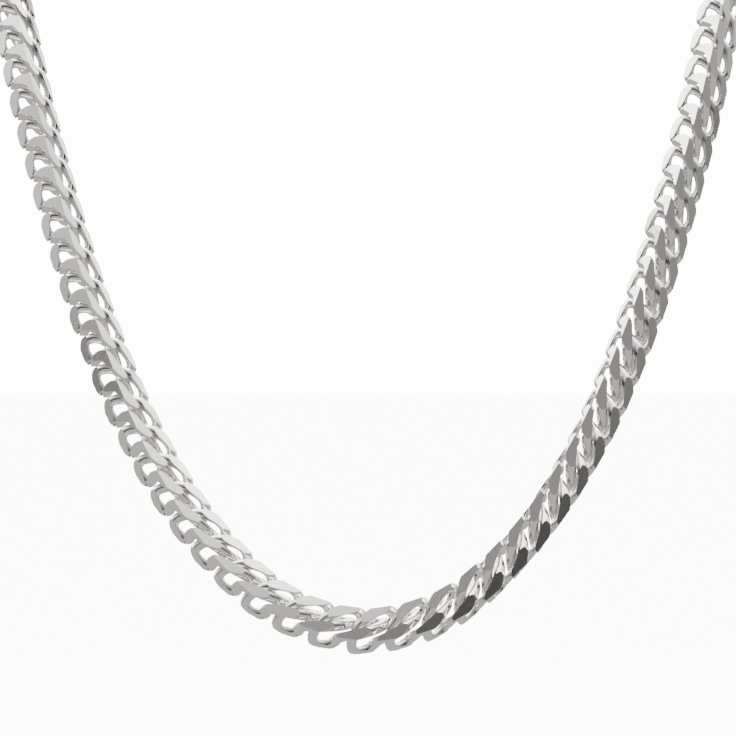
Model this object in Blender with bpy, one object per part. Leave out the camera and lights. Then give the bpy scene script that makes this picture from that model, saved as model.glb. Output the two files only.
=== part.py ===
# Foxtail chain necklace: flat-cut square links in one loop, with a plain clasp at the nape.
# Blender 4.5, metres, +Z up, front towards -Y. The origin is where the clasp rests on the neck.
import math

import bmesh
import bpy
import numpy as np
from mathutils import Matrix, Vector

MM = 0.001

# The link: a bent oval of wire whose four sides are cut flat to a square.
CHAIN_WIDTH = 5.0 * MM          # across the flats
LINK_PITCH = 5.06 * MM          # from one link to the next
WIRE = 1.75 * MM                # thickness of the wire before it is cut
LINK_HALF_WIDTH = 2.05 * MM     # swing of the wire's centre across the front face
LINK_HALF_DEPTH = 2.05 * MM     # swing of the wire's centre through the chain
SQUARENESS = 0.8                # 1 is a plain twisted oval, less presses it to the square's sides
FUSE = 0.20 * MM                # how far touching links sink into each other
MEET_GAP = 0.30 * MM            # play where the two halves hook together
LINK_SIDES = 10                 # straight pieces around one link
WIRE_SIDES = 5

# The clasp: one plain plate with an eye at each end, and a box over its middle.
CLASP_PLATE = 1.3 * MM          # thickness of the plate
CLASP_BODY = 3.0 * MM           # thickness of the box
CLASP_BODY_LENGTH = 8.0 * MM
CLASP_RIM = 1.0 * MM            # metal around each eye
EYE_CLEARANCE = 0.32 * MM       # around the end link's wire in its eye
CLASP_NECK = 2.6 * MM           # from the box to the nearer side of the eye
CLASP_BEVEL = 0.35 * MM
EYE_SIDES = 24

# Chosen points of the right half of the route, in millimetres from the lowest point of the front:
# to the right, back, and up. The left half is its mirror image.
ROUTE_POINTS = [
    (0.0, 0.0, 0.0),
    (7.9, 0.7, 1.5),
    (14.6, 2.4, 5.1),
    (23.3, 6.4, 13.8),
    (29.4, 10.6, 22.8),
    (34.0, 14.8, 31.7),
    (40.9, 23.2, 49.7),
    (46.2, 31.6, 67.7),
    (48.5, 35.8, 76.7),
    (53.0, 49.0, 95.0),
    (58.0, 69.0, 108.5),
    (58.0, 93.0, 115.0),
    (47.5, 115.0, 118.0),
    (26.0, 129.5, 119.0),
    (0.0, 134.0, 119.0),
]
# How the chain's front face turns about its own line: share of the half route, and degrees.
ROLL_STATIONS = [(-1.0, -57.0), (-0.42, -57.0), (-0.26, -50.0), (-0.11, -23.0), (0.0, 4.0),
                 (0.11, 15.0), (0.22, 24.0), (0.42, 54.0), (1.0, 54.0)]
ROUTE_SAMPLES = 3000


def closed_spline(points, samples):
    """A smooth closed curve through the points, as evenly spaced samples."""
    n = len(points)
    chord = np.linalg.norm(np.roll(points, -1, 0) - points, axis=1) ** 0.5
    knot = np.concatenate([[0.0], np.cumsum(chord)])
    h = chord
    a = np.zeros((n, n))
    b = np.zeros((n, 3))
    for i in range(n):
        p, q = (i - 1) % n, (i + 1) % n
        a[i, p] += h[p]
        a[i, i] += 2.0 * (h[p] + h[i])
        a[i, q] += h[i]
        b[i] = 6.0 * ((points[q] - points[i]) / h[i] - (points[i] - points[p]) / h[p])
    m = np.linalg.solve(a, b)
    u = np.linspace(0.0, knot[-1], samples * 2, endpoint=False)
    i = np.clip(np.searchsorted(knot, u, side="right") - 1, 0, n - 1)
    q = (i + 1) % n
    w = (u - knot[i])[:, None]
    v = h[i][:, None] - w
    hi = h[i][:, None]
    curve = (m[i] * v ** 3 + m[q] * w ** 3) / (6.0 * hi) \
        + (points[i] / hi - m[i] * hi / 6.0) * v + (points[q] / hi - m[q] * hi / 6.0) * w
    curve = np.vstack([curve, curve[:1]])
    run = np.concatenate([[0.0], np.cumsum(np.linalg.norm(np.diff(curve, axis=0), axis=1))])
    even = np.linspace(0.0, run[-1], samples, endpoint=False)
    return np.stack([np.interp(even, run, curve[:, k]) for k in range(3)], axis=1), run[-1]


def unit(v):
    return v / np.linalg.norm(v)


right = np.array(ROUTE_POINTS) * MM
left = right[1:-1][::-1] * np.array([-1.0, 1.0, 1.0])
route, route_length = closed_spline(np.vstack([right, left]), ROUTE_SAMPLES)
nape = right[-1].copy()
tangents = np.roll(route, -1, 0) - np.roll(route, 1, 0)
tangents /= np.linalg.norm(tangents, axis=1)[:, None]

# A steady frame is carried from the front both ways, so the chain doesn't twist by itself.
lean = math.atan2(ROUTE_POINTS[8][1], ROUTE_POINTS[8][2])
steady = np.zeros_like(route)
steady[0] = (0.0, -math.cos(lean), math.sin(lean))
half_samples = ROUTE_SAMPLES // 2
for step in (1, -1):
    for k in range(half_samples):
        i, j = (step * k) % ROUTE_SAMPLES, (step * (k + 1)) % ROUTE_SAMPLES
        v = steady[i] - tangents[j] * np.dot(steady[i], tangents[j])
        if step == -1 and k == half_samples - 1:
            break
        steady[j] = unit(v)


def place(distance):
    """Point, tangent and steady normal at a distance along the route from the front."""
    f = distance / route_length * ROUTE_SAMPLES
    i = int(math.floor(f))
    w = f - i
    i, j = i % ROUTE_SAMPLES, (i + 1) % ROUTE_SAMPLES
    return (route[i] * (1 - w) + route[j] * w, unit(tangents[i] * (1 - w) + tangents[j] * w),
            unit(steady[i] * (1 - w) + steady[j] * w))


# The ring of one link, with its long way along the chain.
LINK_HALF_LENGTH = (LINK_PITCH + WIRE - FUSE) / 2.0
end_swing = (LINK_HALF_WIDTH, -LINK_HALF_DEPTH * 2.0 ** SQUARENESS)


def squared(v):
    return math.copysign(abs(v) ** SQUARENESS, v)


def ring_point(t):
    return np.array([LINK_HALF_WIDTH * squared(math.sin(t)), -LINK_HALF_DEPTH * squared(math.sin(2.0 * t)),
                     LINK_HALF_LENGTH * math.cos(t)])


def link_mesh():
    """Vertices and faces of one link, its wire's corner facing inwards and its sides cut flat."""
    verts, faces = [], []
    cut = CHAIN_WIDTH / 2.0
    for i in range(LINK_SIDES):
        t = 2.0 * math.pi * i / LINK_SIDES
        c = ring_point(t)
        along = unit(ring_point(t + 0.001) - ring_point(t - 0.001))
        inward = unit(-c + along * np.dot(c, along))
        side = np.cross(along, inward)
        for k in range(WIRE_SIDES):
            w = 2.0 * math.pi * k / WIRE_SIDES
            p = c + WIRE / 2.0 * (math.cos(w) * inward + math.sin(w) * side)
            p[0] = min(cut, max(-cut, p[0]))
            p[1] = min(cut, max(-cut, p[1]))
            verts.append(p)
    for i in range(LINK_SIDES):
        j = (i + 1) % LINK_SIDES
        for k in range(WIRE_SIDES):
            m = (k + 1) % WIRE_SIDES
            faces.append((i * WIRE_SIDES + k, i * WIRE_SIDES + m, j * WIRE_SIDES + m, j * WIRE_SIDES + k))
    return np.array(verts), faces


ring_verts, ring_faces = link_mesh()

# The clasp's eyes, and the links that fill each half between the front and an eye.
eye_radius = WIRE / 2.0 + EYE_CLEARANCE
eye_centre = CLASP_BODY_LENGTH / 2.0 + CLASP_NECK + eye_radius
# The wire of the last link sits in the eye, against the side away from the clasp's box.
hook_at = eye_centre
meet_pitch = LINK_PITCH - FUSE - MEET_GAP
run = route_length / 2.0 - hook_at - meet_pitch / 2.0 - LINK_HALF_LENGTH
link_steps = max(2, int(round(run / LINK_PITCH)))
pitch = run / link_steps


def frame(distance, roll):
    """Axes of a link: across its front face, through the chain, and along it."""
    c, along, normal = place(distance)
    through = -normal
    across = np.cross(through, along)
    r = math.radians(roll)
    return (c, across * math.cos(r) + through * math.sin(r),
            through * math.cos(r) - across * math.sin(r), along)


def eye_roll(side):
    """Roll that lays the end bend of the last link square to the clasp's plate."""
    c, across, through, along = frame(side * (route_length / 2.0 - hook_at - LINK_HALF_LENGTH), 0.0)
    wire = math.atan2(end_swing[1] * side, end_swing[0])
    roll = math.degrees(math.atan2(through[1], across[1]) - wire)
    near = ROLL_STATIONS[-1][1] if side > 0 else ROLL_STATIONS[0][1]
    return near + (roll - near + 90.0) % 180.0 - 90.0


stations = [list(s) for s in ROLL_STATIONS]
for side in (-1, 1):
    stations[0 if side < 0 else -1][1] = eye_roll(side)


def roll_at(distance):
    share = distance / (route_length / 2.0)
    xs = [s[0] for s in stations]
    ys = [s[1] for s in stations]
    # smoothed, so that the turn has no kinks
    return sum(float(np.interp(share + d, xs, ys)) for d in (-0.06, -0.03, 0.0, 0.03, 0.06)) / 5.0


def silver():
    m = bpy.data.materials.new("polished_silver")
    m.use_nodes = True
    s = m.node_tree.nodes["Principled BSDF"]
    s.inputs["Base Color"].default_value = (0.86, 0.86, 0.85, 1.0)
    s.inputs["Metallic"].default_value = 1.0
    s.inputs["Roughness"].default_value = 0.12
    return m


material = silver()


def add_object(name, verts, faces):
    me = bpy.data.meshes.new(name)
    me.from_pydata([tuple(v - nape_origin) for v in verts], [], faces)
    me.materials.append(material)
    me.validate()
    me.update()
    ob = bpy.data.objects.new(name, me)
    bpy.context.scene.collection.objects.link(ob)
    return ob


def join_by(target, other, operation):
    """Boolean of two objects, kept as the plain mesh of the first."""
    mod = target.modifiers.new("cut", "BOOLEAN")
    mod.operation = operation
    mod.solver = "EXACT"
    mod.object = other
    graph = bpy.context.evaluated_depsgraph_get()
    graph.update()
    me = bpy.data.meshes.new_from_object(target.evaluated_get(graph))
    target.modifiers.remove(mod)
    old = target.data
    target.data = me
    bpy.data.meshes.remove(old)
    bpy.data.objects.remove(other)
    me.name = target.name
    me.materials.clear()
    me.materials.append(material)


for ob in list(bpy.data.objects):
    bpy.data.objects.remove(ob)

# The clasp rests on the neck with the inner face of its box, and the origin is there.
nape_origin = nape + np.array([0.0, -CLASP_BODY / 2.0, 0.0])

for side, name in ((-1, "chain_left"), (1, "chain_right")):
    groups = [([], []), ([], [])]
    for k in range(link_steps + 1):
        distance = side * (meet_pitch / 2.0 + k * pitch)
        roll = stations[0 if side < 0 else -1][1] if k == link_steps else roll_at(distance)
        c, across, through, along = frame(distance, roll)
        basis = np.stack([across, through, along])
        verts, faces = groups[k % 2]
        base = len(verts)
        verts.extend(c + ring_verts @ basis)
        faces.extend(tuple(base + v for v in f) for f in ring_faces)
    first = add_object(name, *groups[0])
    second = add_object(name + "_more", *groups[1])
    join_by(first, second, "UNION")

# The clasp's plate is one outline with round ends, then its eyes are cut and the box is added.
plate_end = eye_centre + eye_radius + CLASP_RIM
plate_half = eye_radius + CLASP_RIM
outline = []
for sign, start in ((1, -90.0), (-1, 90.0)):
    for k in range(EYE_SIDES // 2 + 1):
        w = math.radians(start + 180.0 * k / (EYE_SIDES // 2))
        outline.append((sign * eye_centre + plate_half * math.cos(w), plate_half * math.sin(w)))
n = len(outline)
verts = [nape + np.array([x, s * CLASP_PLATE / 2.0, z]) for s in (-1, 1) for x, z in outline]
faces = [tuple(range(n)), tuple(range(2 * n - 1, n - 1, -1))]
faces += [(i, i + n, (i + 1) % n + n, (i + 1) % n) for i in range(n)]
clasp = add_object("clasp", verts, faces)

for sign in (-1, 1):
    verts = []
    for s in (-1, 1):
        for k in range(EYE_SIDES):
            w = 2.0 * math.pi * k / EYE_SIDES
            verts.append(nape + np.array([sign * eye_centre + eye_radius * math.cos(w), s * CLASP_PLATE,
                                          eye_radius * math.sin(w)]))
    faces = [tuple(range(EYE_SIDES)), tuple(range(2 * EYE_SIDES - 1, EYE_SIDES - 1, -1))]
    faces += [(i, i + EYE_SIDES, (i + 1) % EYE_SIDES + EYE_SIDES, (i + 1) % EYE_SIDES)
              for i in range(EYE_SIDES)]
    join_by(clasp, add_object("eye", verts, faces), "DIFFERENCE")

body = bmesh.new()
bmesh.ops.create_cube(body, size=1.0)
bmesh.ops.scale(body, vec=(CLASP_BODY_LENGTH, CLASP_BODY, 2.0 * plate_half), verts=body.verts)
bmesh.ops.bevel(body, geom=list(body.edges), offset=CLASP_BEVEL, segments=1, affect="EDGES")
box_verts = [nape + np.array(v.co) for v in body.verts]
body.verts.index_update()
box_faces = [tuple(v.index for v in f.verts) for f in body.faces]
body.free()
join_by(clasp, add_object("box", box_verts, box_faces), "UNION")

# Each body is turned outwards and has no doubled points.
for ob in list(bpy.data.objects):
    bm = bmesh.new()
    bm.from_mesh(ob.data)
    bmesh.ops.remove_doubles(bm, verts=bm.verts, dist=0.000002)
    bmesh.ops.triangulate(bm, faces=bm.faces)
    bmesh.ops.recalc_face_normals(bm, faces=bm.faces)
    bm.to_mesh(ob.data)
    bm.free()
    ob.data.update()
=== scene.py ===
# Foxtail chain necklace, dressed for the picture: every link cut flat on four sides and polished.
# Blender 4.5, metres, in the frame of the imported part: origin at the nape, front towards -Y.
import math

import bpy
import bmesh
import numpy as np
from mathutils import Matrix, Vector


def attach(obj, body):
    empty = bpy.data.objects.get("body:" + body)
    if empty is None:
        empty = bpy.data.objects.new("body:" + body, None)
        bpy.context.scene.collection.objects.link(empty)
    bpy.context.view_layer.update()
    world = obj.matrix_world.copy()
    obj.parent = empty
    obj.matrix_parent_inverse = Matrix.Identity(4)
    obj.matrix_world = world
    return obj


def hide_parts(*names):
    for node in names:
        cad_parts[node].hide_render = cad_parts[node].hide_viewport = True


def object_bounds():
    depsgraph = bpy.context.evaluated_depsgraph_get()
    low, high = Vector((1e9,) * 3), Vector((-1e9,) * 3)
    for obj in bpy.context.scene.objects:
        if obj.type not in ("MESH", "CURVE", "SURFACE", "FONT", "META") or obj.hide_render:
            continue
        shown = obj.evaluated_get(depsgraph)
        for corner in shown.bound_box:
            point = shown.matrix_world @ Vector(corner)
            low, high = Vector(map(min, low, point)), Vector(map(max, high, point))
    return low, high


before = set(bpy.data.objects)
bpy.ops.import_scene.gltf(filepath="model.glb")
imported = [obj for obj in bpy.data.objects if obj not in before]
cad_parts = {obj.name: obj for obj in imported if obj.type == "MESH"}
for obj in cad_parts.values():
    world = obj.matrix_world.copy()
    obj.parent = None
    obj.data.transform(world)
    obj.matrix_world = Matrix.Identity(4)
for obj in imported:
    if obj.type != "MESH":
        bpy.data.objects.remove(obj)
cad_low, cad_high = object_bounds()
MM = 0.001


# The line that the chain hangs on. A worn chain of fifty centimetres falls from the nape over the
# shoulders and closes in a deep U on the chest, which leans back with the chest by 25 degrees.
ROUTE_POINTS = [    # the right half in millimetres from its lowest point: to the right, back, up
    (0.0, 0.0, 0.0), (7.9, 0.7, 1.5), (14.6, 2.4, 5.1), (23.3, 6.4, 13.8), (29.4, 10.6, 22.8),
    (34.0, 14.8, 31.7), (40.9, 23.2, 49.7), (46.2, 31.6, 67.7), (48.5, 35.8, 76.7), (53.0, 49.0, 95.0),
    (58.0, 69.0, 108.5), (58.0, 93.0, 115.0), (47.5, 115.0, 118.0), (26.0, 129.5, 119.0),
    (0.0, 134.0, 119.0)]
LAST_ON_CHEST = 8               # the route point where the chain leaves the chest for the shoulder
CLASP_BODY = 3.0 * MM           # thickness of the clasp's box, whose inner face is the origin
ROUTE_SAMPLES = 3000


def closed_spline(points, samples):
    """A smooth closed curve through the points, as evenly spaced samples, and its length."""
    n = len(points)
    h = np.linalg.norm(np.roll(points, -1, 0) - points, axis=1) ** 0.5
    knot = np.concatenate([[0.0], np.cumsum(h)])
    a, b = np.zeros((n, n)), np.zeros((n, 3))
    for i in range(n):
        p, q = (i - 1) % n, (i + 1) % n
        a[i, p] += h[p]
        a[i, i] += 2.0 * (h[p] + h[i])
        a[i, q] += h[i]
        b[i] = 6.0 * ((points[q] - points[i]) / h[i] - (points[i] - points[p]) / h[p])
    m = np.linalg.solve(a, b)
    u = np.linspace(0.0, knot[-1], samples * 2, endpoint=False)
    i = np.clip(np.searchsorted(knot, u, side="right") - 1, 0, n - 1)
    q = (i + 1) % n
    hi = h[i][:, None]
    w = (u - knot[i])[:, None]
    v = hi - w
    curve = (m[i] * v ** 3 + m[q] * w ** 3) / (6.0 * hi) \
        + (points[i] / hi - m[i] * hi / 6.0) * v + (points[q] / hi - m[q] * hi / 6.0) * w
    curve = np.vstack([curve, curve[:1]])
    run = np.concatenate([[0.0], np.cumsum(np.linalg.norm(np.diff(curve, axis=0), axis=1))])
    even = np.linspace(0.0, run[-1], samples, endpoint=False)
    return np.stack([np.interp(even, run, curve[:, k]) for k in range(3)], axis=1), run[-1]


def unit(v):
    return v / np.linalg.norm(v)


right_half = np.array(ROUTE_POINTS) * MM
left_half = right_half[1:-1][::-1] * np.array([-1.0, 1.0, 1.0])
route, route_length = closed_spline(np.vstack([right_half, left_half]), ROUTE_SAMPLES)
nape = right_half[-1]
front = np.array([0.0, CLASP_BODY / 2.0, 0.0]) - nape     # the lowest point's centre, from the origin
tangents = np.roll(route, -1, 0) - np.roll(route, 1, 0)
tangents /= np.linalg.norm(tangents, axis=1)[:, None]

# A steady face direction is carried from the front both ways, so the line adds no twist of its own.
lean = math.atan2(ROUTE_POINTS[LAST_ON_CHEST][1], ROUTE_POINTS[LAST_ON_CHEST][2])
steady = np.zeros_like(route)
steady[0] = (0.0, -math.cos(lean), math.sin(lean))
for way in (1, -1):
    for k in range(ROUTE_SAMPLES // 2 - (way == -1)):
        i, j = (way * k) % ROUTE_SAMPLES, (way * (k + 1)) % ROUTE_SAMPLES
        steady[j] = unit(steady[i] - tangents[j] * np.dot(steady[i], tangents[j]))


def place(distance):
    """Point, direction and steady face direction at a distance along the line from the front."""
    f = distance / route_length * ROUTE_SAMPLES
    i = int(math.floor(f))
    w = f - i
    i, j = i % ROUTE_SAMPLES, (i + 1) % ROUTE_SAMPLES
    return (route[i] * (1 - w) + route[j] * w, unit(tangents[i] * (1 - w) + tangents[j] * w),
            unit(steady[i] * (1 - w) + steady[j] * w))


# One link: a ring of round silver wire, bent so that each end makes a round arch on one side of the
# chain with legs down both corners, then milled flat on four sides by a diamond tool. The cuts leave
# mirror-bright facets with sharp edges, and the wire between them stays round.
CHAIN_WIDTH = 5.0 * MM          # across the flats
LINK_PITCH = 5.06 * MM

# the solid links' plain bend, which the last link of each half keeps at its outer end
WIRE = 1.75 * MM
FUSE = 0.20 * MM                # how closely the solid links press together
LINK_HALF_LENGTH = (LINK_PITCH + WIRE - FUSE) / 2.0
LINK_HALF_WIDTH = 2.05 * MM
LINK_HALF_DEPTH = 2.05 * MM
SQUARENESS = 0.8

# the arched bend of every other link
ARCH_LEAN = 1.6 * MM            # how far the end bends lie to their own sides
ARCH_ROUND = 0.75 * MM          # spreads each arch over its side
WIDTH_SWING = 1.85 * MM         # the wire's swing from side to side
WIDTH_BULGE = 0.4 * MM          # keeps the end bends narrow and brings the ring's middle out
DEPTH_SWING = 1.45 * MM         # its swing from front to back, twice around the ring
DEPTH_SHIFT = 0.25 * MM         # moves the ends of that swing towards the ring's middle
DEPTH_ARCH = 1.25 * MM          # brings both legs of an arch to the corners
LENGTH_SWING = 4.0 * MM         # about half of the ring's length
LENGTH_DRAWN = 0.35 * MM        # draws the end bends out along the chain
LENGTH_SLANT = 1.1 * MM         # makes one leg of an arch longer, which slants the corner facets
WIRE_UNCUT = 1.65 * MM          # the dressed wire before it is cut
WIRE_AT_BENDS = 1.5 * MM        # the wire is squeezed where the links hook together
WIRE_EASE = 1.5                 # how slowly it grows thicker away from the bends
LINK_SIDES = 56                 # straight pieces around the ring
WIRE_SIDES = 18
SMALL_TURN = 0.01               # a small step around the ring, which finds the wire's direction
CORNER_DROP = 0.30 * MM         # front and back are cut as a very shallow roof, lower at the corners
NEAR_CUT = 0.003 * MM           # how close to a cut a point lies on it
WELD = 0.002 * MM               # how close two points are one


def ring_point(t):
    """The middle of the wire, t around the ring: across the chain, through it and along it."""
    return np.array([
        -ARCH_LEAN * math.cos(t) + WIDTH_SWING * math.sin(t)
        - ARCH_ROUND * math.cos(3.0 * t) - WIDTH_BULGE * math.sin(3.0 * t),
        -DEPTH_SWING * math.sin(2.0 * t) + DEPTH_SHIFT * math.sin(4.0 * t)
        + DEPTH_ARCH * math.cos(2.0 * t),
        LENGTH_SWING * math.cos(t) + LENGTH_DRAWN * math.cos(3.0 * t)
        + LENGTH_SLANT * math.sin(3.0 * t)])


def pressed(v):
    return math.copysign(abs(v) ** SQUARENESS, v)


def end_ring_point(t):
    """A half's last link: its outer end is the solid links' plain bend, which fits the clasp's eye."""
    bend = np.array([LINK_HALF_WIDTH * pressed(math.sin(t)), -LINK_HALF_DEPTH * pressed(math.sin(2.0 * t)),
                     LINK_HALF_LENGTH * math.cos(t)])
    w = min(1.0, max(0.0, math.cos(t)))
    w = w * w * (3.0 - 2.0 * w)         # a smooth step from the ring's middle to its outer end
    return ring_point(t) * (1.0 - w) + bend * w


def wire_at(t):
    return WIRE_AT_BENDS + (WIRE_UNCUT - WIRE_AT_BENDS) * abs(math.sin(t)) ** WIRE_EASE


def plain(name, ob):
    """The object's mesh with its modifiers applied, as a mesh of its own."""
    graph = bpy.context.evaluated_depsgraph_get()
    graph.update()
    me = bpy.data.meshes.new_from_object(ob.evaluated_get(graph))
    me.name = name
    return me


def object_of(name, data):
    ob = bpy.data.objects.new(name, data)
    bpy.context.scene.collection.objects.link(ob)
    return ob


block = bmesh.new()
middle_cut, corner_cut = CHAIN_WIDTH / 2.0, CHAIN_WIDTH / 2.0 - CORNER_DROP
profile = [(middle_cut, corner_cut), (0.0, middle_cut), (-middle_cut, corner_cut),
           (-middle_cut, -corner_cut), (0.0, -middle_cut), (middle_cut, -corner_cut)]
block_end = 2.0 * LINK_HALF_LENGTH      # well beyond the ends of a ring
ends = [[block.verts.new((x, y, z)) for x, y in profile] for z in (-block_end, block_end)]
block.faces.new(ends[0][::-1])
block.faces.new(ends[1])
for i in range(len(profile)):
    j = (i + 1) % len(profile)
    block.faces.new((ends[0][i], ends[0][j], ends[1][j], ends[1][i]))
bmesh.ops.recalc_face_normals(block, faces=block.faces)
block_mesh = bpy.data.meshes.new("cutting_block")
block.to_mesh(block_mesh)
block.free()
cutting_block = object_of("cutting_block", block_mesh)
slope = CORNER_DROP / middle_cut        # how far a roof falls from its middle to its corner


def on_cut(point):
    return (abs(point.x) > middle_cut - NEAR_CUT
            or abs(point.y) > middle_cut - slope * abs(point.x) - NEAR_CUT)


def cut_ring(name, point_at):
    """A ring of wire along the given points, cut by the block, with sharp edges round its facets."""
    link = bmesh.new()
    rings = []
    turns = [2.0 * math.pi * k / WIRE_SIDES for k in range(WIRE_SIDES)]
    for i in range(LINK_SIDES):
        t = 2.0 * math.pi * i / LINK_SIDES
        c = point_at(t)
        along = unit(point_at(t + SMALL_TURN) - point_at(t - SMALL_TURN))
        inward = unit(-c + along * np.dot(c, along))
        side = np.cross(along, inward)
        rings.append([link.verts.new(c + wire_at(t) / 2.0 * (math.cos(w) * inward + math.sin(w) * side))
                      for w in turns])
    for i in range(LINK_SIDES):
        a, b = rings[i], rings[(i + 1) % LINK_SIDES]
        for k in range(WIRE_SIDES):
            m = (k + 1) % WIRE_SIDES
            link.faces.new((a[k], a[m], b[m], b[k]))
    bmesh.ops.recalc_face_normals(link, faces=link.faces)
    for f in link.faces:
        f.smooth = True
    ring_mesh = bpy.data.meshes.new(name + "_ring")
    link.to_mesh(ring_mesh)
    link.free()
    ring = object_of(name + "_ring", ring_mesh)
    cut = ring.modifiers.new("flat cuts", "BOOLEAN")
    cut.operation = "INTERSECT"
    cut.solver = "EXACT"
    cut.object = cutting_block
    link_mesh = plain(name, ring)
    bpy.data.objects.remove(ring)
    link = bmesh.new()
    link.from_mesh(link_mesh)
    bmesh.ops.remove_doubles(link, verts=link.verts, dist=WELD)
    for f in link.faces:
        f.smooth = not all(on_cut(v.co) for v in f.verts)
    for e in link.edges:
        if len(e.link_faces) == 2 and e.link_faces[0].smooth != e.link_faces[1].smooth:
            e.smooth = False
    bmesh.ops.recalc_face_normals(link, faces=link.faces)
    link.to_mesh(link_mesh)
    link.free()
    return object_of(name, link_mesh)


cut_link = cut_ring("cut_link", ring_point)
end_link = cut_ring("end_link", end_ring_point)
bpy.data.objects.remove(cutting_block)


# Polished, diamond-cut sterling silver. Silver is the whitest of metals: its facets mirror the
# studio clearly, under a faint haze that polishing leaves more in some places than in others.
SILVER = "#F3F2EF"
ROUGHNESS = (0.08, 0.18)        # where the haze is thin and where it is thick
HAZE_SIZE = 0.6 * MM
HAZE_SPAN = (0.3, 0.7)          # the noise's own darkest and lightest tones
WAVE_SIZE = 0.9 * MM            # the tool's waves are 0.15 mm apart, too fine to show, so drawn coarser
WAVE_HEIGHT = 0.01 * MM
WAVE_STRENGTH = 0.12


def linear(hex_colour):
    """An sRGB hex colour as linear light."""
    parts = [int(hex_colour[i:i + 2], 16) / 255.0 for i in (1, 3, 5)]
    return tuple(p / 12.92 if p <= 0.04045 else ((p + 0.055) / 1.055) ** 2.4 for p in parts) + (1.0,)


def node(tree, kind, links=None, **settings):
    """A node with its settings, and a value or a link for each input named or numbered in links."""
    n = tree.nodes.new(kind)
    for key, value in settings.items():
        setattr(n, key, value)
    for key, value in (links or {}).items():
        if isinstance(value, bpy.types.NodeSocket):
            tree.links.new(value, n.inputs[key])
        else:
            n.inputs[key].default_value = value
    return n


silver = bpy.data.materials.new("polished_sterling_silver")
silver.use_nodes = True
tree = silver.node_tree
shader = tree.nodes["Principled BSDF"]
where = node(tree, "ShaderNodeTexCoord")
haze = node(tree, "ShaderNodeTexNoise", {"Vector": where.outputs["Object"], "Scale": 1.0 / HAZE_SIZE,
                                         "Detail": 3.0, "Roughness": 0.5})
hazed = node(tree, "ShaderNodeMapRange", {"Value": haze.outputs["Fac"],
                                          "From Min": HAZE_SPAN[0], "From Max": HAZE_SPAN[1],
                                          "To Min": ROUGHNESS[0], "To Max": ROUGHNESS[1]})
waves = node(tree, "ShaderNodeTexNoise", {"Vector": where.outputs["Object"], "Scale": 1.0 / WAVE_SIZE,
                                          "Detail": 2.0})
bump = node(tree, "ShaderNodeBump", {"Height": waves.outputs["Fac"], "Strength": WAVE_STRENGTH,
                                     "Distance": WAVE_HEIGHT})
shader.inputs["Base Color"].default_value = linear(SILVER)
shader.inputs["Metallic"].default_value = 1.0
tree.links.new(hazed.outputs["Result"], shader.inputs["Roughness"])
tree.links.new(bump.outputs["Normal"], shader.inputs["Normal"])


# The two halves of the chain. Each link hooks through its neighbours and turns with the roll that
# the hanging chain shows: its front face points outwards on the right and inwards on the left.
EYE_CLEARANCE = 0.32 * MM
CLASP_BODY_LENGTH = 8.0 * MM
CLASP_NECK = 2.6 * MM
ROLL_STATIONS = [(-1.0, -57.0), (-0.42, -57.0), (-0.26, -50.0), (-0.11, -23.0), (0.0, 4.0),
                 (0.11, 15.0), (0.22, 24.0), (0.42, 54.0), (1.0, 54.0)]    # share of a half, degrees
ROLL_SPREAD = (-0.06, -0.03, 0.0, 0.03, 0.06)       # the shares that a link's roll is averaged over
END_SWING = (LINK_HALF_WIDTH, -LINK_HALF_DEPTH * 2.0 ** SQUARENESS)        # the end bend's direction
eye_centre = CLASP_BODY_LENGTH / 2.0 + CLASP_NECK + WIRE / 2.0 + EYE_CLEARANCE
last_link_at = route_length / 2.0 - eye_centre - LINK_HALF_LENGTH       # along the line from the front
link_steps = max(2, int(round(last_link_at / LINK_PITCH)))
pitch = last_link_at / (link_steps + 0.5)       # each half's first link is half a pitch from the front


def axes(distance, roll):
    """Axes of a link: its centre, across its front face, through the chain, and along it."""
    c, along, normal = place(distance)
    through = -normal
    across = np.cross(through, along)
    r = math.radians(roll)
    return (c, across * math.cos(r) + through * math.sin(r),
            through * math.cos(r) - across * math.sin(r), along)


stations = [list(s) for s in ROLL_STATIONS]
for side, end in ((-1, stations[0]), (1, stations[-1])):    # the last links lie square to the clasp
    c, across, through, along = axes(side * last_link_at, 0.0)
    square = math.degrees(math.atan2(through[1], across[1]) - math.atan2(END_SWING[1] * side, END_SWING[0]))
    end[1] = end[1] + (square - end[1] + 90.0) % 180.0 - 90.0       # the nearest of its two ways round


def roll_at(distance):
    share = distance / (route_length / 2.0)
    xs, ys = [s[0] for s in stations], [s[1] for s in stations]
    return sum(float(np.interp(share + d, xs, ys)) for d in ROLL_SPREAD) / len(ROLL_SPREAD)


# The repeating tree: one link on each point, its length along the line and its face turned outwards.
links_tree = bpy.data.node_groups.new("links_on_a_line", "GeometryNodeTree")
sockets = links_tree.interface
sockets.new_socket("Geometry", in_out="INPUT", socket_type="NodeSocketGeometry")
named = {word: sockets.new_socket(word, in_out="INPUT", socket_type="NodeSocket" + kind)
         for word, kind in (("Link", "Object"), ("End link", "Object"), ("Link size", "Float"),
                            ("Finish", "Material"))}
sockets.new_socket("Geometry", in_out="OUTPUT", socket_type="NodeSocketGeometry")
given = node(links_tree, "NodeGroupInput")
along_it, through_it, is_last = [
    node(links_tree, "GeometryNodeInputNamedAttribute", {"Name": word}, data_type=kind).outputs["Attribute"]
    for word, kind in (("along", "FLOAT_VECTOR"), ("through", "FLOAT_VECTOR"), ("last", "BOOLEAN"))]
upright = node(links_tree, "FunctionNodeAlignRotationToVector", {"Vector": along_it}, axis="Z")
turned = node(links_tree, "FunctionNodeAlignRotationToVector",
              {"Rotation": upright.outputs["Rotation"], "Vector": through_it}, axis="Y", pivot_axis="Z")
not_last = node(links_tree, "FunctionNodeBooleanMath", {0: is_last}, operation="NOT")
placed = node(links_tree, "GeometryNodeJoinGeometry")
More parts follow.
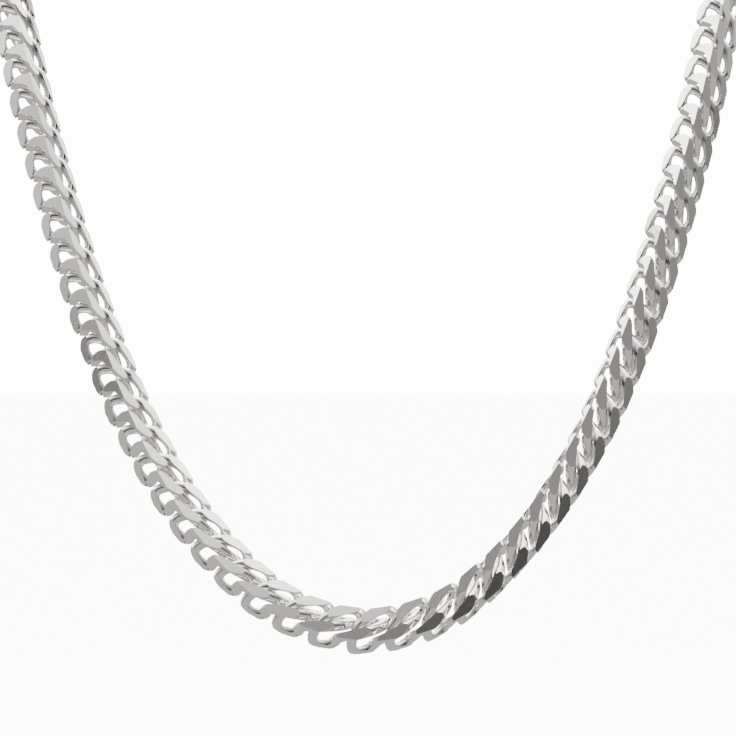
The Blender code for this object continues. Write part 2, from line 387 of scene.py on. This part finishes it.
for word, chosen in (("Link", not_last.outputs["Boolean"]), ("End link", is_last)):
    link_info = node(links_tree, "GeometryNodeObjectInfo", {"Object": given.outputs[word]})
    on_points = node(links_tree, "GeometryNodeInstanceOnPoints",
                     {"Points": given.outputs["Geometry"], "Selection": chosen,
                      "Instance": link_info.outputs["Geometry"], "Rotation": turned.outputs["Rotation"]})
    links_tree.links.new(on_points.outputs["Instances"], placed.inputs["Geometry"])
sized = node(links_tree, "GeometryNodeScaleInstances",
             {"Instances": placed.outputs["Geometry"], "Scale": given.outputs["Link size"]})
real = node(links_tree, "GeometryNodeRealizeInstances", {"Geometry": sized.outputs["Instances"]})
finish = node(links_tree, "GeometryNodeSetMaterial",
              {"Geometry": real.outputs["Geometry"], "Material": given.outputs["Finish"]})
node(links_tree, "NodeGroupOutput", {"Geometry": finish.outputs["Geometry"]})

for side, name, end in ((-1, "chain_left", stations[0]), (1, "chain_right", stations[-1])):
    centres, runs, faces_out = [], [], []
    for k in range(link_steps + 1):
        distance = side * (k + 0.5) * pitch
        last = k == link_steps
        c, across, through, along = axes(distance, end[1] if last else roll_at(distance))
        centres.append(tuple(c + front))
        runs.append(along * side if last else along)        # the last link's plain bend is outermost
        faces_out.append(through)
    line = bpy.data.meshes.new(name + "_line")
    line.from_pydata(centres, [], [])
    for word, values in (("along", runs), ("through", faces_out)):
        attribute = line.attributes.new(word, "FLOAT_VECTOR", "POINT")
        attribute.data.foreach_set("vector", np.array(values, np.float32).ravel())
    line.attributes.new("last", "BOOLEAN", "POINT").data[link_steps].value = True
    half = object_of(name + "_line", line)
    repeat = half.modifiers.new("links", "NODES")
    repeat.node_group = links_tree
    for word, value in (("Link", cut_link), ("End link", end_link), ("Link size", 1.0), ("Finish", silver)):
        repeat[named[word].identifier] = value
    half.update_tag()
    half_mesh = plain(name + "_links", half)
    half.modifiers.clear()
    bpy.data.objects.remove(half)
    for word in ("along", "through", "last"):
        if word in half_mesh.attributes:
            half_mesh.attributes.remove(half_mesh.attributes[word])
    half_mesh.materials.clear()
    half_mesh.materials.append(silver)
    piece = object_of(name + "_links", half_mesh)
    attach(piece, "root")
    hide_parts(name)
bpy.data.objects.remove(cut_link)
bpy.data.objects.remove(end_link)


# The clasp at the nape: one plain silver plate with an eye for each end of the chain, and a box over
# its middle. It is stamped and then tumbled, which rounds its edges.
CLASP_ROUNDING = 0.15 * MM
ROUNDING_STEPS = 3
FLAT_WITHIN = math.radians(1.0)         # faces that turn less than this are one flat face
SHARP_FROM = math.radians(30.0)         # edges that turn more than this are rounded
clasp_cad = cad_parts["clasp"]
shape = bmesh.new()
shape.from_mesh(clasp_cad.data)
bmesh.ops.remove_doubles(shape, verts=shape.verts, dist=WELD)
bmesh.ops.dissolve_limit(shape, angle_limit=FLAT_WITHIN, verts=shape.verts, edges=shape.edges)
bmesh.ops.recalc_face_normals(shape, faces=shape.faces)
for f in shape.faces:
    f.smooth = True
clasp_mesh = bpy.data.meshes.new("clasp_tumbled")
shape.to_mesh(clasp_mesh)
shape.free()
clasp_mesh.materials.clear()
clasp_mesh.materials.append(silver)
clasp = object_of("clasp_tumbled", clasp_mesh)
rounding = clasp.modifiers.new("tumbled edges", "BEVEL")
rounding.width = CLASP_ROUNDING
rounding.segments = ROUNDING_STEPS
rounding.limit_method = "ANGLE"
rounding.angle_limit = SHARP_FROM
rounding.harden_normals = True
welded = clasp.modifiers.new("welded corners", "WELD")       # where three rounded edges meet
welded.merge_threshold = WELD
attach(clasp, "root")
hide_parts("clasp")


# The table under the hanging chain, in matt white lacquer that shows no gloss. A soft grey shadow is
# painted into its colour just below the chain, and it is clean white further out.
FLOOR_BELOW = 0.05              # metres under the lowest link
FLOOR_REACH = 30.0              # metres to each side, so that its edge is out of sight
PAINTED_SHADOW_REACH = (0.25, 1.0)        # metres from the nape to where the painted shadow starts to fade and is gone
# the grey is the painted shadow under the chain, the white is the table's own colour
PAINTED_SHADOW_GREY, TABLE_WHITE = "#4C4C4C", "#FBFBFB"
floor_mesh = bpy.data.meshes.new("floor")
low = cad_low.z - FLOOR_BELOW
corners = [(x * FLOOR_REACH, y * FLOOR_REACH, low) for x, y in ((-1, -1), (1, -1), (1, 1), (-1, 1))]
floor_mesh.from_pydata(corners, [], [(0, 1, 2, 3)])
floor = object_of("floor", floor_mesh)
lacquer = bpy.data.materials.new("matt_white_table")
lacquer.use_nodes = True
tree = lacquer.node_tree
shader = tree.nodes["Principled BSDF"]
shader.inputs["Roughness"].default_value = 0.9
where = node(tree, "ShaderNodeTexCoord")
away = node(tree, "ShaderNodeVectorMath", {0: where.outputs["Object"]}, operation="LENGTH")
# painted shadow: grey near the nape, fading to white between the two reaches
painted_shadow = node(tree, "ShaderNodeMapRange", {"Value": away.outputs["Value"], "From Min": PAINTED_SHADOW_REACH[0],
                                         "From Max": PAINTED_SHADOW_REACH[1]}, interpolation_type="SMOOTHSTEP")
shadow_tone = node(tree, "ShaderNodeMix", {"Factor": painted_shadow.outputs["Result"],
                                    6: linear(PAINTED_SHADOW_GREY), 7: linear(TABLE_WHITE)}, data_type="RGBA")
tree.links.new(shadow_tone.outputs[2], shader.inputs["Base Color"])
floor_mesh.materials.append(lacquer)
floor.visible_glossy = False            # the silver mirrors the light tent's own ground in its place


# The light tent, which gives polished silver its white, grey and black facets. The silver mirrors
# it: bright above, behind and a little to the left, dark on the camera's side, with a dim strip at
# the horizon that draws the edges of the round wire, and an even grey ground below the horizon.
TENT_WAY = (-0.2, 0.7, 1.0)             # the slant: how far a ray goes left, back and up
TENT_LOW, TENT_HIGH = -0.5, 1.0         # the slants at the ends of the grey scale
TENT_GREYS = (                          # slant, grey
    (-0.40, 0.008), (-0.29, 0.018), (-0.21, 0.028), (-0.11, 0.058), (0.10, 0.065), (0.22, 0.075),
    (0.33, 0.10), (0.38, 0.16), (0.54, 0.24), (0.64, 0.32), (0.73, 0.60), (0.88, 1.0))
STRIP_HEIGHTS = (0.02, 0.16)            # over the horizon, from the dim strip to the full tent
STRIP_LIGHT, TENT_LIGHT = 0.25, 5.0
GROUND_HEIGHTS = (-0.12, 0.10)          # from the full ground to none
GROUND_LIGHT = 0.6
SURROUND_LIGHT = 14.0                   # the plain surround is so bright that it shows as white
EXTRA_ON_TABLE = 2.2                    # a little more of it falls on the table
world = bpy.data.worlds.new("light tent")
bpy.context.scene.world = world
world.use_nodes = True
tree = world.node_tree
tent_light = tree.nodes["Background"]
way = node(tree, "ShaderNodeTexCoord")
height = node(tree, "ShaderNodeSeparateXYZ", {"Vector": way.outputs["Generated"]})
slant = node(tree, "ShaderNodeVectorMath", {0: way.outputs["Generated"], 1: TENT_WAY},
             operation="DOT_PRODUCT")
graded = node(tree, "ShaderNodeMapRange", {"Value": slant.outputs["Value"], "From Min": TENT_LOW,
                                           "From Max": TENT_HIGH})
tent = node(tree, "ShaderNodeValToRGB", {"Fac": graded.outputs["Result"]})
ramp = tent.color_ramp
for i, (at, grey) in enumerate(TENT_GREYS):
    share = (at - TENT_LOW) / (TENT_HIGH - TENT_LOW)
    stop = ramp.elements[i] if i < 2 else ramp.elements.new(share)
    stop.position, stop.color = share, (grey, grey, grey, 1.0)
strip = node(tree, "ShaderNodeMapRange", {"Value": height.outputs["Z"],
                                          "From Min": STRIP_HEIGHTS[0], "From Max": STRIP_HEIGHTS[1],
                                          "To Min": STRIP_LIGHT, "To Max": TENT_LIGHT},
             interpolation_type="SMOOTHSTEP")
tree.links.new(tent.outputs["Color"], tent_light.inputs["Color"])
tree.links.new(strip.outputs["Result"], tent_light.inputs["Strength"])
ground = node(tree, "ShaderNodeMapRange", {"Value": height.outputs["Z"],
                                           "From Min": GROUND_HEIGHTS[0], "From Max": GROUND_HEIGHTS[1],
                                           "To Min": GROUND_LIGHT, "To Max": 0.0})
ground_light = node(tree, "ShaderNodeBackground", {"Color": linear("#FFFFFF"),
                                                   "Strength": ground.outputs["Result"]})
mirrored = node(tree, "ShaderNodeAddShader", {0: tent_light.outputs["Background"],
                                              1: ground_light.outputs["Background"]})

# The camera and the table see a plain white surround, as round the photographed chain.
seen = node(tree, "ShaderNodeLightPath")
glow = node(tree, "ShaderNodeMath", {0: seen.outputs["Is Diffuse Ray"], 1: EXTRA_ON_TABLE,
                                     2: SURROUND_LIGHT}, operation="MULTIPLY_ADD")
surround = node(tree, "ShaderNodeBackground", {"Color": linear("#FFFFFF"),
                                               "Strength": glow.outputs["Value"]})
plainly = node(tree, "ShaderNodeMath", {0: seen.outputs["Is Camera Ray"],
                                        1: seen.outputs["Is Diffuse Ray"]}, operation="MAXIMUM")
choose = node(tree, "ShaderNodeMixShader", {0: plainly.outputs["Value"], 1: mirrored.outputs["Shader"],
                                            2: surround.outputs["Background"]})
tree.links.new(choose.outputs["Shader"], tree.nodes["World Output"].inputs["Surface"])


# Two softboxes in the studio, one high over the chain and a weak one at its front left. They are
# plain flat lamps that face the chain's middle, and the silver mirrors them as soft highlights.
SOFTBOXES = (       # metres from the middle, width, height, watts
    ("ceiling softbox", (0.0, 0.4, 1.2), 1.2, 0.8, 10.0),
    ("left softbox", (-1.08, -0.42, 0.5), 0.6, 0.6, 0.25))
middle = (cad_low + cad_high) / 2.0
for name, offset, wide, high, watts in SOFTBOXES:
    lamp = bpy.data.lights.new(name, "AREA")
    lamp.shape = "RECTANGLE"
    lamp.size, lamp.size_y, lamp.energy = wide, high, watts
    box = object_of(name, lamp)
    box.location = middle + Vector(offset)
    box.rotation_euler = (middle - box.location).to_track_quat("-Z", "Y").to_euler()


# The camera is level and far off with a long lens. The U's lowest point sits at the photo's place,
# and one millimetre of the chain takes 7.12 of its 736 pixels.
PIXELS = 736
PIXELS_PER_MM = 7.12
LOWEST_PIXEL = (366.5, 630.0)
CAMERA_AWAY = 1.5               # metres in front of the lowest point
SENSOR = 36.0                   # millimetres
CLIP = (0.01, 100.0)            # metres, nearest and furthest
camera_data = bpy.data.cameras.new("camera")
camera = object_of("camera", camera_data)
bpy.context.scene.camera = camera
shown = PIXELS / PIXELS_PER_MM * MM     # the width of the view at the lowest point
camera_data.sensor_width = SENSOR
camera_data.lens = SENSOR * CAMERA_AWAY / shown
camera_data.clip_start, camera_data.clip_end = CLIP
camera.location = (front[0] - (LOWEST_PIXEL[0] - PIXELS / 2.0) / PIXELS_PER_MM * MM,
                   front[1] - CAMERA_AWAY,
                   front[2] + (LOWEST_PIXEL[1] - PIXELS / 2.0) / PIXELS_PER_MM * MM)
camera.rotation_euler = (math.pi / 2.0, 0.0, 0.0)
